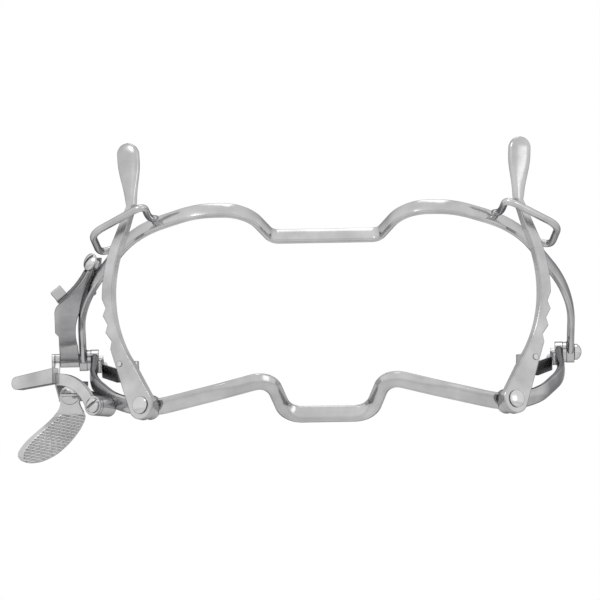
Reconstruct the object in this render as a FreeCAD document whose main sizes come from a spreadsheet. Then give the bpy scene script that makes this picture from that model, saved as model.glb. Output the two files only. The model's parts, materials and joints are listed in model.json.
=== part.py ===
# Mouth gag: two bent bows hinged behind, a ratchet lever on each side that runs
# through a wire bail, and a holder for a tongue blade on the left side.
# Sizes are in millimetres. +X is to the right seen from the front, -Y is the front
# side that faces the surgeon, +Z is up. The shapes are worked out from the hinge axis
# and then moved so that the origin is the middle of the lower tooth rest's under face.
import FreeCAD, Part
import math
import os
import Sketcher

from FreeCAD import Placement, Rotation, Vector

os.makedirs("parts", exist_ok=True)
doc = FreeCAD.newDocument("mouth_gag")

# Driving dimensions

SIZES = {
    # bars of both bows
    "bar_thickness": 2.0,
    "bar_height": 4.2,
    "bar_chamfer": 0.42,
    "bar_crown": 0.2,
    "eye_radius": 2.8,
    # hinges
    "hinge_half_span": 64.1,
    "spacer_thickness": 1.05,
    "spacer_radius": 2.7,
    "hinge_pin_radius": 1.1,
    "running_clearance": 0.05,
    "face_clearance": 0.1,
    "pin_tail_length": 1.2,
    "screw_head_radius": 2.1,
    "screw_head_height": 1.9,
    "screw_slot_width": 0.6,
    "screw_slot_depth": 0.8,
    # upper bow: plan in its own plane, raised about the hinge axis
    "raise_angle": 33.0,
    "upper_side_reach": 25.5,
    "upper_corner_inset": 15.0,
    "upper_corner_reach": 54.3,
    "upper_front_inset": 31.1,
    "upper_front_reach": 62.2,
    "upper_crest_x": 20.3,
    "upper_rest_half_width": 13.8,
    "upper_rest_reach": 51.0,
    "rest_relief": 0.15,
    "upper_side_radius": 78.0,
    "upper_corner_radius": 38.0,
    "upper_front_radius": 20.0,
    "upper_crest_radius": 12.0,
    "upper_fold_radius": 3.2,
    # lower bow: rear arms slope down, the front is arched and the rest hooks down
    "tilt_angle": 17.5,
    "lower_side_reach": 25.0,
    "lower_corner_inset": 9.6,
    "lower_corner_reach": 46.5,
    "lower_pivot_inset": 18.1,
    "lower_pivot_reach": 55.0,
    "lower_front_inset": 37.1,
    "lower_front_reach": 62.5,
    "lower_front_drop": 13.4,
    "lower_crest_x": 14.8,
    "lower_crest_reach": 61.5,
    "lower_crest_drop": 10.2,
    "lower_rest_half_width": 10.8,
    "lower_rest_reach": 52.0,
    "lower_rest_drop": 19.0,
    "lower_side_radius": 60.0,
    "lower_corner_radius": 30.0,
    "lower_pivot_radius": 25.0,
    "lower_front_radius": 15.0,
    "lower_crest_radius": 5.5,
    "lower_fold_radius": 5.5,
    # ratchet levers
    "lever_lean_angle": 4.5,
    "lever_thickness": 2.0,
    "lever_stand_off": 2.4,
    "lever_end_radius": 3.7,
    "lever_arc_x": -22.9,
    "lever_arc_height": 28.5,
    "lever_arc_radius": 34.7,
    "lever_blade_width": 3.8,
    "first_tooth_height": 15.6,
    "tooth_count": 4,
    "gullet_share": 0.4,
    "shoulder_height": 42.2,
    "inner_edge_height": 11.0,
    "neck_x": 2.6,
    "neck_height": 52.4,
    "tab_x": 3.6,
    "tab_radius": 2.6,
    "stop_pin_x": 6.3,
    "stop_pin_proud": 0.2,
    "rivet_tail": 0.5,
    "boss_radius": 3.2,
    "tooth_pitch": 4.45,
    "tooth_depth": 0.65,
    "tab_length": 16.2,
    "neck_width": 1.6,
    "neck_length": 1.6,
    "neck_blend": 2.5,
    "blade_shift_x": 0.35,
    "blade_shift_height": 1.0,
    "rivet_radius": 1.3,
    "rivet_head_radius": 2.25,
    "rivet_head_height": 0.7,
    "stop_pin_radius": 0.8,
    "stop_pin_height": 11.4,
    "stop_pin_length": 3.4,
    # bails
    "bail_wire_radius": 0.95,
    "bail_foot_radius": 1.4,
    "bail_bend_radius": 2.2,
    "bail_front_inset": 18.8,
    "bail_front_ahead": 2.4354,
    "bail_front_rise": 0.8,
    "bail_corner_inset": 17.6,
    "bail_corner_ahead": 12.0242,
    "bail_corner_rise": -2.2,
    "bail_outer_beyond": 12.6146,
    "bail_outer_reach": 57.4,
    "bail_outer_rise": -3.2,
    "bail_back_beyond": 4.5604,
    "bail_back_reach": 45.2,
    "bail_back_rise": 0.3,
    # holder knuckles on the left hinge
    "knuckle_radius": 1.8,
    "bracket_knuckle_width": 4.9,
    "web_knuckle_width": 1.3,
    "pin_head_height": 0.8,
    # holder bracket: a bent band seen from the front, carried by the upper bow
    "sheet_thickness": 1.4,
    "bracket_bend_reach": 11.0,
    "bracket_bend_rise": 3.0,
    "bracket_top_reach": 27.5,
    "bracket_top_rise": 25.5,
    "bracket_bend_radius": 12.0,
    "bracket_head_inset": 3.8,
    "bracket_head_z": 24.5,
    "bracket_head_width": 2.1,
    "bracket_shoulder_inset": -5.5,
    "bracket_shoulder_z": 13.4,
    "bracket_bow_out": 1.3,
    "bracket_corner_swell": 0.5,
    "bracket_side_inset": -6.9,
    "bracket_side_top": 10.4,
    "bracket_side_foot": 6.2,
    "bracket_waist_inset": 0.4,
    "bracket_waist_z": 12.4,
    "bracket_belly_inset": -1.4,
    "bracket_belly_z": 8.0,
    "upper_stud_radius": 0.8,
    "upper_stud_inset": 4.3,
    "upper_stud_reach": 32.0,
    "lower_stud_radius": 1.1,
    "lower_stud_inset": 3.2,
    "lower_stud_reach": 28.6,
    "stud_length": 5.6,
    # holder web: a sheet in plan, carried by the lower bow
    "web_bend_reach": 8.0,
    "web_bend_drop": 6.5,
    "web_tail_short": 4.6,
    "web_end_drop": 14.6,
    "web_bend_radius": 6.0,
    "web_step_reach": 7.0,
    "web_neck_reach": 11.0,
    "web_inner_inset": 1.5,
    "web_seat_reach": 27.0,
    "web_seat_overlap": 0.6,
    "web_side_inset": -5.5,
    "web_tail_inset": 1.8,
    "web_tail_end_inset": 3.7,
    "lug_thickness": 2.0,
    "lug_radius": 2.6,
    "foot_inset": 4.3,
    "foot_reach": 48.6,
    "foot_drop": 15.6,
    "foot_turn_angle": 35.0,
    "foot_length": 5.6,
    "foot_radius": 2.6,
    # squeeze tab: a curved strip and a thick tab in the plane of the foot
    "strip_thickness": 1.2,
    "strip_centre_x": -11.4,
    "strip_centre_y": -3.9,
    "strip_inner_radius": 9.65,
    "strip_width": 3.1,
    "strip_start_angle": 18.9,
    "strip_end_angle": 92.0,
    "pad_thickness": 2.6,
    "pad_near_x": -11.7,
    "pad_near_y": 8.3,
    "pad_near_half": 2.0,
    "pad_far_x": -23.3,
    "pad_far_y": 7.0,
    "pad_far_half": 1.7,
    "pad_bevel": 1.3,
    "small_head_radius": 1.9,
    "small_head_height": 1.2,
    "small_shank_radius": 0.9,
    # thumb paddle and its pivot
    "paddle_pivot_inset": -2.6,
    "paddle_pivot_drop": 12.0,
    "paddle_face_reach": 37.7,
    "paddle_thickness": 2.0,
    "paddle_ear_radius": 2.6,
    "paddle_head_radius": 2.4,
    "paddle_head_height": 1.6,
    "paddle_neck_left_x": -3.1,
    "paddle_neck_left_y": -3.3,
    "paddle_neck_right_x": 4.06,
    "paddle_neck_right_y": -5.3,
    "paddle_right_x": 2.3,
    "paddle_right_y": -9.3,
    "paddle_low_x": -6.1,
    "paddle_low_y": -16.9,
    "paddle_toe_x": -1.65,
    "paddle_toe_y": -13.5,
    "paddle_far_x": -13.4,
    "paddle_far_y": -14.0,
    "rib_count": 15,
    "rib_pitch": 0.76,
    "rib_groove": 0.34,
    "rib_slope_angle": 12.0,
    "rib_first": 4.9,
    # spring catch on the bracket
    "leaf_gap": 0.3,
    "leaf_thickness": 0.7,
    "leaf_width": 4.0,
    "peg_length": 3.2,
    "peg_height": 3.6,
    "catch_boss_radius": 1.5,
    "catch_boss_length": 1.6,
    "catch_head_radius": 2.3,
    "catch_head_height": 1.5,
    "catch_play": 0.5,
    "catch_turn_angle": 48.4,
    "catch_tilt_angle": 14.5,
    "catch_seat_out": 0.96,
    "catch_seat_drop": 1.4,
    # leaf springs that push the levers outwards
    "spring_thickness": 0.6,
    "spring_width": 3.6,
    "spring_root_inset": 5.2,
    "spring_root_reach": 5.0,
    "spring_root_drop": 2.2,
    "spring_knee_inset": 5.5,
    "spring_knee_reach": 14.0,
    "spring_knee_drop": 4.0,
    "spring_mid_inset": 10.1,
    "spring_mid_reach": 37.0,
    "spring_mid_drop": 7.2,
    "spring_tip_inset": 15.05,
    "spring_tip_reach": 49.45,
    "spring_tip_drop": 6.4,
    "spring_bend_radius": 12.0,
    "curl_radius": 0.9,
    "spring_block_width": 3.0,
    "spring_head_radius": 1.25,
    "spring_head_height": 1.0,
    "spring_shank_radius": 0.6,
}

sheet = doc.addObject("Spreadsheet::Sheet", "Sizes")
for row, (alias, value) in enumerate(SIZES.items(), start=1):
    sheet.set("A%d" % row, alias)
    sheet.set("B%d" % row, str(value))
    sheet.setAlias("B%d" % row, alias)
doc.recompute()


def size(alias):
    """Value of one driving dimension, read from the sheet."""
    return float(sheet.get(alias))


def beside(name):
    """Distance from the middle of a place that the sheet gives by its inset from the hinges."""
    return size("hinge_half_span") - size(name + "_inset")


# Working values that several pieces share

BEND_SHARE = 0.49
DOME_SHARE = 0.65
NO_LENGTH = 1e-6
ALONG_X = Vector(1, 0, 0)
AHEAD = size("upper_front_reach") + size("lower_front_reach")
half_bar = size("bar_thickness") / 2
half_height = size("bar_height") / 2
hole_radius = size("hinge_pin_radius") + size("running_clearance")
upper_hinge_x = size("hinge_half_span")
lower_hinge_x = upper_hinge_x - size("bar_thickness") - size("spacer_thickness")
RAISED = Placement(Vector(), Rotation(Vector(1, 0, 0), -size("raise_angle")))
SIDES = {"right": 1, "left": -1}
bodies = {}


def unit(vector):
    """Copy of a vector with length one."""
    return vector / vector.Length


def mirrored(point, side):
    """Point on the right (side 1) or its mirror image on the left (side -1)."""
    return Vector(point.x * side, point.y, point.z)


class BentPath:
    """Straight runs joined by round bends, with the direction that a bar's height takes on each run."""

    def __init__(self, points, radii, upright):
        self.runs = []
        self.bends = []
        start = points[0]
        for index in range(1, len(points)):
            run = points[index] - points[index - 1]
            heading = unit(run)
            if index == len(points) - 1:
                self.runs.append((start, points[index], heading, upright))
                break
            following = points[index + 1] - points[index]
            turn = heading.getAngle(following)
            reach = radii[index - 1] * math.tan(turn / 2)
            reach = min(reach, BEND_SHARE * run.Length, BEND_SHARE * following.Length)
            bend_start = points[index] - heading * reach
            axis = unit(heading.cross(following))
            centre = bend_start + axis.cross(heading) * (reach / math.tan(turn / 2))
            self.runs.append((start, bend_start, heading, upright))
            self.bends.append((centre, axis, math.degrees(turn)))
            upright = Rotation(axis, math.degrees(turn)).multVec(upright)
            start = points[index] + unit(following) * reach


def bar_section(width, height, chamfer, crown):
    """Section of a bar: flat top and under face, crowned front and back, and broken corners."""
    def face(place, heading, upright):
        across = heading.cross(upright)

        def point(right, top):
            return place + across * right + upright * top

        side = width / 2 - crown
        flat = side - chamfer
        shoulder = height / 2 - chamfer
        edges = []
        for turn in (1, -1):
            low_side = point(turn * side, -turn * shoulder)
            high_side = point(turn * side, turn * shoulder)
            near_top = point(turn * flat, turn * height / 2)
            far_top = point(-turn * flat, turn * height / 2)
            edges.append(Part.Arc(low_side, point(turn * width / 2, 0), high_side))
            edges.append(Part.LineSegment(high_side, near_top))
            edges.append(Part.LineSegment(near_top, far_top))
            edges.append(Part.LineSegment(far_top, point(-turn * side, turn * shoulder)))
        return Part.Face(Part.Wire(Part.sortEdges([edge.toShape() for edge in edges])[0]))
    return face


def wire_section(radius):
    """Round section of a wire."""
    def face(place, heading, upright):
        return Part.Face(Part.Wire(Part.Circle(place, heading, radius).toShape()))
    return face


def strip_section(thickness, height):
    """Plain section of a spring strip."""
    def face(place, heading, upright):
        across = heading.cross(upright) * (thickness / 2)
        rise = upright * (height / 2)
        corners = [place + across + rise, place - across + rise,
                   place - across - rise, place + across - rise]
        return Part.Face(Part.makePolygon(corners + corners[:1]))
    return face


def carry(path, section):
    """Solid of a section pressed along every run of a path and turned through every bend."""
    pieces = []
    for index, (start, end, heading, upright) in enumerate(path.runs):
        if (end - start).Length > NO_LENGTH:
            pieces.append(section(start, heading, upright).extrude(end - start))
        if index < len(path.bends):
            centre, axis, degrees = path.bends[index]
            pieces.append(section(end, heading, upright).revolve(centre, axis, degrees))
    return pieces[0].multiFuse(pieces[1:]).removeSplitter()


def rod(start, direction, radius, length):
    """Round rod that starts at a point and runs along a direction."""
    return Part.makeCylinder(radius, length, start, direction)


def along_axis(start, direction):
    """Placement at a point, with its Z axis in the given direction."""
    return Placement(start, Rotation(Vector(0, 0, 1), direction))


def primitive(kind, label, placement, **formulas):
    """Basic solid whose sizes follow formulas on the sheet."""
    item = doc.addObject("Part::" + kind, label)
    for name, formula in formulas.items():
        item.setExpression(name, formula)
    item.Placement = placement
    return item


def joined(kind, label, *items):
    """Sum, common part or difference of solids."""
    result = doc.addObject("Part::" + kind, label)
    if kind == "Cut":
        result.Base, result.Tool = items
    else:
        result.Shapes = list(items)
    return result


def domed(label, seat, direction, head):
    """Low dome on a short rim. The head's name on the sheet gives its radius and height."""
    radius = "Sizes.%s_radius" % head
    height = "Sizes.%s_height" % head
    dome = size(head + "_height") * DOME_SHARE
    dome_radius = (size(head + "_radius") ** 2 + dome ** 2) / (2 * dome)
    formula = "(%s * %s / (%s * %s) + %s * %s) / 2" % (radius, radius, height, DOME_SHARE, height, DOME_SHARE)
    rim = primitive("Cylinder", label + "_rim", along_axis(seat, direction), Radius=radius, Height=height)
    middle = seat + direction * (size(head + "_height") - dome_radius)
    ball = primitive("Sphere", label + "_ball", Placement(middle, Rotation()), Radius=formula)
    return joined("MultiCommon", label + "_dome", rim, ball)


def slotted(label, item, seat, direction, head):
    """Head with a straight driving slot across its dome."""
    place = along_axis(seat + direction * (size(head + "_height") - size("screw_slot_depth")), direction)
    corner = Vector(-2 * size(head + "_radius"), -size("screw_slot_width") / 2, 0)
    cutter = primitive("Box", label + "_slot", place * Placement(corner, Rotation()),
                       Length="4 * Sizes.%s_radius" % head, Width="Sizes.screw_slot_width",
                       Height="Sizes.%s_height" % head)
    return joined("Cut", label + "_driven", item, cutter)


def headed_pin(label, seat, direction, shank, shank_length, head, slot=True):
    """Screw or rivet whose head starts at the seat; its shank runs back from there."""
    top = domed(label, seat, direction, head)
    if slot:
        top = slotted(label, top, seat, direction, head)
    body = primitive("Cylinder", label + "_shank", along_axis(seat, -direction),
                     Radius="Sizes." + shank, Height=shank_length)
    bodies[label] = joined("MultiFuse", label, body, top)
    bodies[label].Label = label
    return bodies[label]


def keep(label, shape, placement=None):
    """Sub-part whose shape is worked out above from the sheet."""
    feature = doc.addObject("Part::Feature", label)
    feature.Label = label
    feature.Shape = shape
    if placement is not None:
        feature.Placement = placement
    bodies[label] = feature
    return feature


# Upper bow: a flat U with a notch for the rest, bent in its own plane and raised

def upper_point(x, reach, rise=0.0):
    """Point in the upper bow's own plane: reach is forwards from the hinge axis."""
    return Vector(x, -reach, rise)


def upper_path():
    """Route of the bar's middle from the right hinge to the left one."""
    half = [
        upper_point(upper_hinge_x, 0),
        upper_point(upper_hinge_x, size("upper_side_reach")),
        upper_point(beside("upper_corner"), size("upper_corner_reach")),
        upper_point(beside("upper_front"), size("upper_front_reach")),
        upper_point(size("upper_crest_x"), size("upper_front_reach")),
        upper_point(size("upper_rest_half_width"), size("upper_rest_reach")),
    ]
    radii = [size("upper_side_radius"), size("upper_corner_radius"), size("upper_front_radius"),
             size("upper_crest_radius"), size("upper_fold_radius")]
    points = half + [mirrored(point, -1) for point in reversed(half)]
    return BentPath(points, radii + radii[::-1], Vector(0, 0, 1))


def hinge_eyes(shape, middle_x):
    """Adds the two round eyes at the hinge axis to a bow and bores them."""
    for side in SIDES.values():
        start = Vector(side * middle_x - half_bar, 0, 0)
        shape = shape.fuse(rod(start, Vector(1, 0, 0), size("eye_radius"), size("bar_thickness")))
        shape = shape.cut(rod(start, Vector(1, 0, 0), hole_radius, size("bar_thickness")))
    return shape


bar = bar_section(size("bar_thickness"), size("bar_height"), size("bar_chamfer"), size("bar_crown"))
upper_route = upper_path()
upper_bow_shape = hinge_eyes(carry(upper_route, bar), upper_hinge_x)
relief_start, relief_end = upper_route.runs[len(upper_route.runs) // 2][:2]
relief = Part.makeBox((relief_end - relief_start).Length, 2 * size("bar_thickness"), half_height)
relief.translate(relief_end + Vector(0, -size("bar_thickness"), half_height - size("rest_relief")))
upper_bow_shape = upper_bow_shape.cut(relief)
upper_bow_shape.Placement = RAISED

# Lower bow: rear arms slope down, the front is arched and the rest hooks down and back

def arm_point(x, reach):
    """Point in the sloping plane of the lower bow's rear arms."""
    return Vector(x, -reach, -reach * math.tan(math.radians(size("tilt_angle"))))


def lower_path():
    """Route of the bar's middle from the right hinge to the left one."""
    slope = math.radians(size("tilt_angle"))
    half = [
        arm_point(lower_hinge_x, 0),
        arm_point(lower_hinge_x, size("lower_side_reach")),
        arm_point(beside("lower_corner"), size("lower_corner_reach")),
        arm_point(beside("lower_pivot"), size("lower_pivot_reach")),
        Vector(beside("lower_front"), -size("lower_front_reach"), -size("lower_front_drop")),
        Vector(size("lower_crest_x"), -size("lower_crest_reach"), -size("lower_crest_drop")),
        Vector(size("lower_rest_half_width"), -size("lower_rest_reach"), -size("lower_rest_drop")),
    ]
    radii = [size("lower_side_radius"), size("lower_corner_radius"), size("lower_pivot_radius"),
             size("lower_front_radius"), size("lower_crest_radius"), size("lower_fold_radius")]
    points = half + [mirrored(point, -1) for point in reversed(half)]
    return BentPath(points, radii + radii[::-1], Vector(0, -math.sin(slope), math.cos(slope)))


lower_route = lower_path()
lower_bow_shape = hinge_eyes(carry(lower_route, bar), lower_hinge_x)

# Ratchet levers: the plane, the pivot and the outline that both sides share

def pivot_frame(side):
    """Lever pivot on the lower bow: its point, and the directions along, up and out of the lever."""
    corner = arm_point(beside("lower_pivot"), size("lower_pivot_reach"))
    centre = lower_route.bends[2][0]
    radius = (lower_route.runs[2][1] - centre).Length
    point = mirrored(centre + unit(corner - centre) * radius, side)
    facing = mirrored(unit(Vector(corner.x - centre.x, corner.y - centre.y, 0)), side)
    lean = math.radians(size("lever_lean_angle"))
    normal = facing * math.cos(lean) + Vector(0, 0, math.sin(lean))
    rise = unit(normal.cross(Vector(1, 0, 0)))
    if rise.z < 0:
        rise = -rise
    return point, rise.cross(normal), rise, normal


def placed_on(point, along, rise, normal):
    """Placement whose X, Y and Z axes are the three given directions."""
    return Placement(point, Rotation(along, rise, normal, "ZXY"))


def on_circle(centre, radius, height):
    """Point of a circle's outer side at a height."""
    return Vector(centre.x + math.sqrt(radius ** 2 - (height - centre.y) ** 2), height, 0)


def tangent_point(outside, centre, radius, side):
    """Where a line from an outside point touches a circle, on its right (1) or left (-1) side."""
    reach = outside - centre
    angle = math.atan2(reach.y, reach.x) - side * math.acos(radius / reach.Length)
    return centre + Vector(radius * math.cos(angle), radius * math.sin(angle), 0)


def lever_outline(side):
    """Edges of the lever's outline: round pivot end, toothed outer edge, thin neck and thumb tab."""
    outer_centre = Vector(size("lever_arc_x"), size("lever_arc_height"), 0)
    outer_radius = size("lever_arc_radius")
    inner_centre = outer_centre + Vector(size("blade_shift_x"), size("blade_shift_height"), 0)
    inner_radius = outer_radius - size("lever_blade_width")
    hub = Vector(0, 0, 0)
    tooth_heights = [size("first_tooth_height") + size("tooth_pitch") * tooth
                     for tooth in range(int(size("tooth_count")))]
    outer = []
    for height in tooth_heights:
        outer.append(on_circle(outer_centre, outer_radius, height))
        if height != tooth_heights[-1]:
            gullet = height + size("tooth_pitch") * size("gullet_share")
            outer.append(on_circle(outer_centre, outer_radius - size("tooth_depth"), gullet))
    foot = tangent_point(outer[0], hub, size("lever_end_radius"), 1)
    shoulder = on_circle(outer_centre, outer_radius, size("shoulder_height"))
    belly = on_circle(outer_centre, outer_radius, (tooth_heights[-1] + size("shoulder_height")) / 2)
    inner_low = on_circle(inner_centre, inner_radius, size("inner_edge_height"))
    inner_high = on_circle(inner_centre, inner_radius, size("shoulder_height") + size("neck_blend"))
    inner_middle = on_circle(inner_centre, inner_radius, (inner_low.y + inner_high.y) / 2)
    heel = tangent_point(inner_low, hub, size("lever_end_radius"), -1)
    neck = Vector(size("neck_x"), size("neck_height"), 0)
    half_neck = Vector(size("neck_width") / 2, 0, 0)
    neck_run = Vector(0, size("neck_length"), 0)
    tab_centre = Vector(size("tab_x"), size("neck_height") + size("tab_length") - size("tab_radius"), 0)
    tab_right = tangent_point(neck + half_neck + neck_run, tab_centre, size("tab_radius"), -1)
    tab_left = tangent_point(neck - half_neck + neck_run, tab_centre, size("tab_radius"), 1)
    points = [foot] + outer
    edges = [("line", first, second) for first, second in zip(points, points[1:])]
    edges.append(("arc", outer[-1], belly, shoulder))
    edges.append(("line", shoulder, neck + half_neck))
    edges.append(("line", neck + half_neck, neck + half_neck + neck_run))
    edges.append(("line", neck + half_neck + neck_run, tab_right))
    edges.append(("arc", tab_right, tab_centre + Vector(0, size("tab_radius"), 0), tab_left))
    edges.append(("line", tab_left, neck - half_neck + neck_run))
    edges.append(("line", neck - half_neck + neck_run, neck - half_neck))
    edges.append(("line", neck - half_neck, inner_high))
    edges.append(("arc", inner_high, inner_middle, inner_low))
    edges.append(("line", inner_low, heel))
    edges.append(("arc", heel, hub - Vector(0, size("lever_end_radius"), 0), foot))
    return drawn(edges, side)


def drawn(edges, side=1):
    """Sketch geometry of a list of lines and three-point arcs, mirrored in X for side -1."""
    geometry = []
    for kind, *points in edges:
        points = [mirrored(point, side) for point in points]
        if kind == "line":
            geometry.append(Part.LineSegment(*points))
        else:
            geometry.append(Part.Arc(*points))
    return geometry


def plate(label, geometry, thickness, placement, holes):
    """Plate padded from a drawn outline, with round holes of the given (x, y, radius) formulas."""
    body = doc.addObject("PartDesign::Body", label)
    body.Label = label
    plane = [item for item in body.Origin.OriginFeatures if item.Role == "XY_Plane"][0]
    sketch = body.newObject("Sketcher::SketchObject", label + "_outline")
    sketch.AttachmentSupport = [(plane, "")]
    sketch.MapMode = "FlatFace"
    for item in geometry:
        sketch.addGeometry(item, False)
    for x, y, radius in holes:
        index = sketch.addGeometry(Part.Circle(Vector(x[0], y[0], 0), Vector(0, 0, 1), radius[0]), False)
        for kind, number, formula in (("DistanceX",) + x, ("DistanceY",) + y):
            place = sketch.addConstraint(Sketcher.Constraint(kind, -1, 1, index, 3, number))
            sketch.setExpression("Constraints[%d]" % place, formula)
        place = sketch.addConstraint(Sketcher.Constraint("Radius", index, radius[0]))
        sketch.setExpression("Constraints[%d]" % place, radius[1])
    pad = body.newObject("PartDesign::Pad", label + "_pad")
    pad.Profile = sketch
    pad.setExpression("Length", thickness)
    body.Placement = placement
    bodies[label] = body
    return body


def lever_pieces(name, side):
    """Ratchet lever, its pivot rivet and its small pin on one side."""
    point, along, rise, normal = pivot_frame(side)
    stand_off = size("lever_stand_off")
    base = point + normal * stand_off
    thickness = size("lever_thickness")
    sign = "" if side == 1 else "-"
    hub_radius = size("rivet_radius") + size("running_clearance")
    hub = ((0.0, "0"), (0.0, "0"), (hub_radius, "Sizes.rivet_radius + Sizes.running_clearance"))
    pin_hole = ((side * size("stop_pin_x"), sign + "Sizes.stop_pin_x"),
                (size("stop_pin_height"), "Sizes.stop_pin_height"),
                (size("stop_pin_radius"), "Sizes.stop_pin_radius"))
    plate("ratchet_lever_" + name, lever_outline(side), "Sizes.lever_thickness",
          placed_on(base, along, rise, normal), [hub, pin_hole])
    reach = stand_off + thickness + size("face_clearance")
    headed_pin("lever_rivet_" + name, point + normal * reach, normal, "rivet_radius",
               "Sizes.rivet_tail + Sizes.bar_thickness / 2 + Sizes.lever_stand_off"
               " + Sizes.lever_thickness + Sizes.face_clearance", "rivet_head", False)
    pin_start = base + along * (side * size("stop_pin_x")) + rise * size("stop_pin_height")
    pin_start = pin_start + normal * (thickness + size("stop_pin_proud"))
    bodies["lever_pin_" + name] = primitive("Cylinder", "lever_pin_" + name, along_axis(pin_start, -normal),
                                            Radius="Sizes.stop_pin_radius", Height="Sizes.stop_pin_length")


def with_lever_bosses(bow):
    """Adds the two pivot bosses to the lower bow and bores them for the rivets."""
    for side in SIDES.values():
        point, along, rise, normal = pivot_frame(side)
        reach = size("lever_stand_off") - size("face_clearance")
        root = half_bar / 2
        behind = size("bar_thickness") + half_bar
        bow = bow.fuse(rod(point - normal * root, normal, size("boss_radius"), root + reach))
        bow = bow.cut(rod(point - normal * behind, normal, size("rivet_radius"), behind + reach))
    return bow


lower_bow_shape = with_lever_bosses(lower_bow_shape)
keep("upper_bow", upper_bow_shape)
keep("lower_bow", lower_bow_shape)
for name, side in SIDES.items():
    lever_pieces(name, side)

# Bails: wire loops on the upper bow's top edge that the levers pass through

def ahead_of_bow(name):
    """Point at an inset from the hinges, a distance ahead of the bow's front run."""
    x = beside(name)
    share = (beside("upper_corner") - x) / (beside("upper_corner") - beside("upper_front"))
    line = size("upper_corner_reach") + share * (size("upper_front_reach") - size("upper_corner_reach"))
    return upper_point(x, line + size(name + "_ahead"), size(name + "_rise"))


def beyond_bow(name):
    """Point at a reach, a distance outside the line of the bow's side run."""
    reach = size(name + "_reach")
    share = (reach - size("upper_side_reach")) / (size("upper_corner_reach") - size("upper_side_reach"))
    line = upper_hinge_x - share * (upper_hinge_x - beside("upper_corner"))
    return upper_point(line + size(name + "_beyond"), reach, size(name + "_rise"))


def bail(name, side):
    """Wire loop that stands out from the bow and reaches round the lever, with its feet square to the bow."""
    corners = [ahead_of_bow("bail_front"), ahead_of_bow("bail_corner"),
               beyond_bow("bail_outer"), beyond_bow("bail_back")]
    corners = [mirrored(corner, side) for corner in corners]
    flat_bow = upper_bow_shape.copy()
    flat_bow.Placement = Placement()
    feet = [flat_bow.distToShape(Part.Vertex(corner))[1][0][0] for corner in (corners[0], corners[-1])]
    radius = size("bail_bend_radius")
    radii = [size("bail_foot_radius"), radius, radius, size("bail_foot_radius")]
    route = BentPath([feet[0]] + corners + [feet[1]], radii, Vector(0, 0, 1))
    shape = carry(route, wire_section(size("bail_wire_radius")))
    shape.Placement = RAISED
    keep("bail_" + name, shape)


for name, side in SIDES.items():
    bail(name, side)

# Hinges: spacers between the eyes, a screw on the right and a long pin on the left

def hinge_pieces(name, side):
    """Spacer and screw or pin at one hinge. Everything runs along X."""
    outward = ALONG_X * side
    place = along_axis(outward * (lower_hinge_x + half_bar), outward)
    ring = primitive("Cylinder", "spacer_disc_" + name, place,
                     Radius="Sizes.spacer_radius", Height="Sizes.spacer_thickness")
    bore = primitive("Cylinder", "spacer_bore_" + name, place, Height="Sizes.spacer_thickness",
                     Radius="Sizes.hinge_pin_radius + Sizes.running_clearance")
    bodies["hinge_spacer_" + name] = joined("Cut", "hinge_spacer_" + name, ring, bore)
    stack = ("2 * Sizes.bar_thickness + Sizes.spacer_thickness + Sizes.pin_tail_length"
             " + Sizes.face_clearance")
    if side == 1:
        seat = outward * (upper_hinge_x + half_bar + size("face_clearance"))
        headed_pin("hinge_screw", seat, outward, "hinge_pin_radius", stack, "screw_head")
        return
    seat = outward * pin_head_start
    knuckles = " + Sizes.bracket_knuckle_width + Sizes.web_knuckle_width + 2 * Sizes.face_clearance"
    shank = primitive("Cylinder", "hinge_pin_shank", along_axis(seat, -outward),
                      Radius="Sizes.hinge_pin_radius", Height=stack + knuckles)
    head = primitive("Cylinder", "hinge_pin_head", along_axis(seat, outward),
                     Radius="Sizes.knuckle_radius", Height="Sizes.pin_head_height")
    bodies["hinge_pin"] = joined("MultiFuse", "hinge_pin", shank, head)


bracket_knuckle_start = upper_hinge_x + half_bar + size("face_clearance")
web_knuckle_start = bracket_knuckle_start + size("bracket_knuckle_width") + size("face_clearance")
pin_head_start = web_knuckle_start + size("web_knuckle_width") + size("face_clearance")
for name, side in SIDES.items():
    hinge_pieces(name, side)

# Sheet pieces on the left: an outline pressed through a bent sheet

def pressed(edges, direction, length):
    """Solid of a closed outline of lines and three-point arcs, pressed along a direction."""
    wire = Part.Wire(Part.sortEdges([shape.toShape() for shape in drawn(edges)])[0])
    return Part.Face(wire).extrude(direction * length)


def bent_sheet(points, radius, thickness, middle_x, width):
    """Sheet of one width along X that follows a line in the side view."""
    path = BentPath([Vector(middle_x, -reach, rise) for reach, rise in points], [radius], ALONG_X)
    return carry(path, strip_section(thickness, width))


def chain(points):
    """Closed run of straight edges."""
    return [("line", first, second) for first, second in zip(points, points[1:] + points[:1])]


def bracket_sheet(thickness):
    """The bracket's bent sheet, from the hinge axis forwards and up."""
    line = [(0, 0), (size("bracket_bend_reach"), size("bracket_bend_rise")),
            (size("bracket_top_reach"), size("bracket_top_rise"))]
    return bent_sheet(line, size("bracket_bend_radius"), thickness,
                      -(beside("bracket_side") + beside("bracket_head")) / 2,
                      2 * beside("bracket_side") - 2 * beside("bracket_head"))


def front(x, z):
    """Point of a front view on the left side, ahead of everything."""
    return Vector(-x, -AHEAD, z)


def leaf_edge(out):
    """Ends and middle of the bracket's upper left edge, moved outwards."""
    head = front(beside("bracket_head"), size("bracket_head_z"))
    shoulder = front(beside("bracket_shoulder"), size("bracket_shoulder_z"))
    across = unit(Vector(shoulder.z - head.z, 0, head.x - shoulder.x))
    middle = (head + shoulder) / 2 - across * size("bracket_bow_out")
    return [point + across * out for point in (head, middle, shoulder)]


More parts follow.
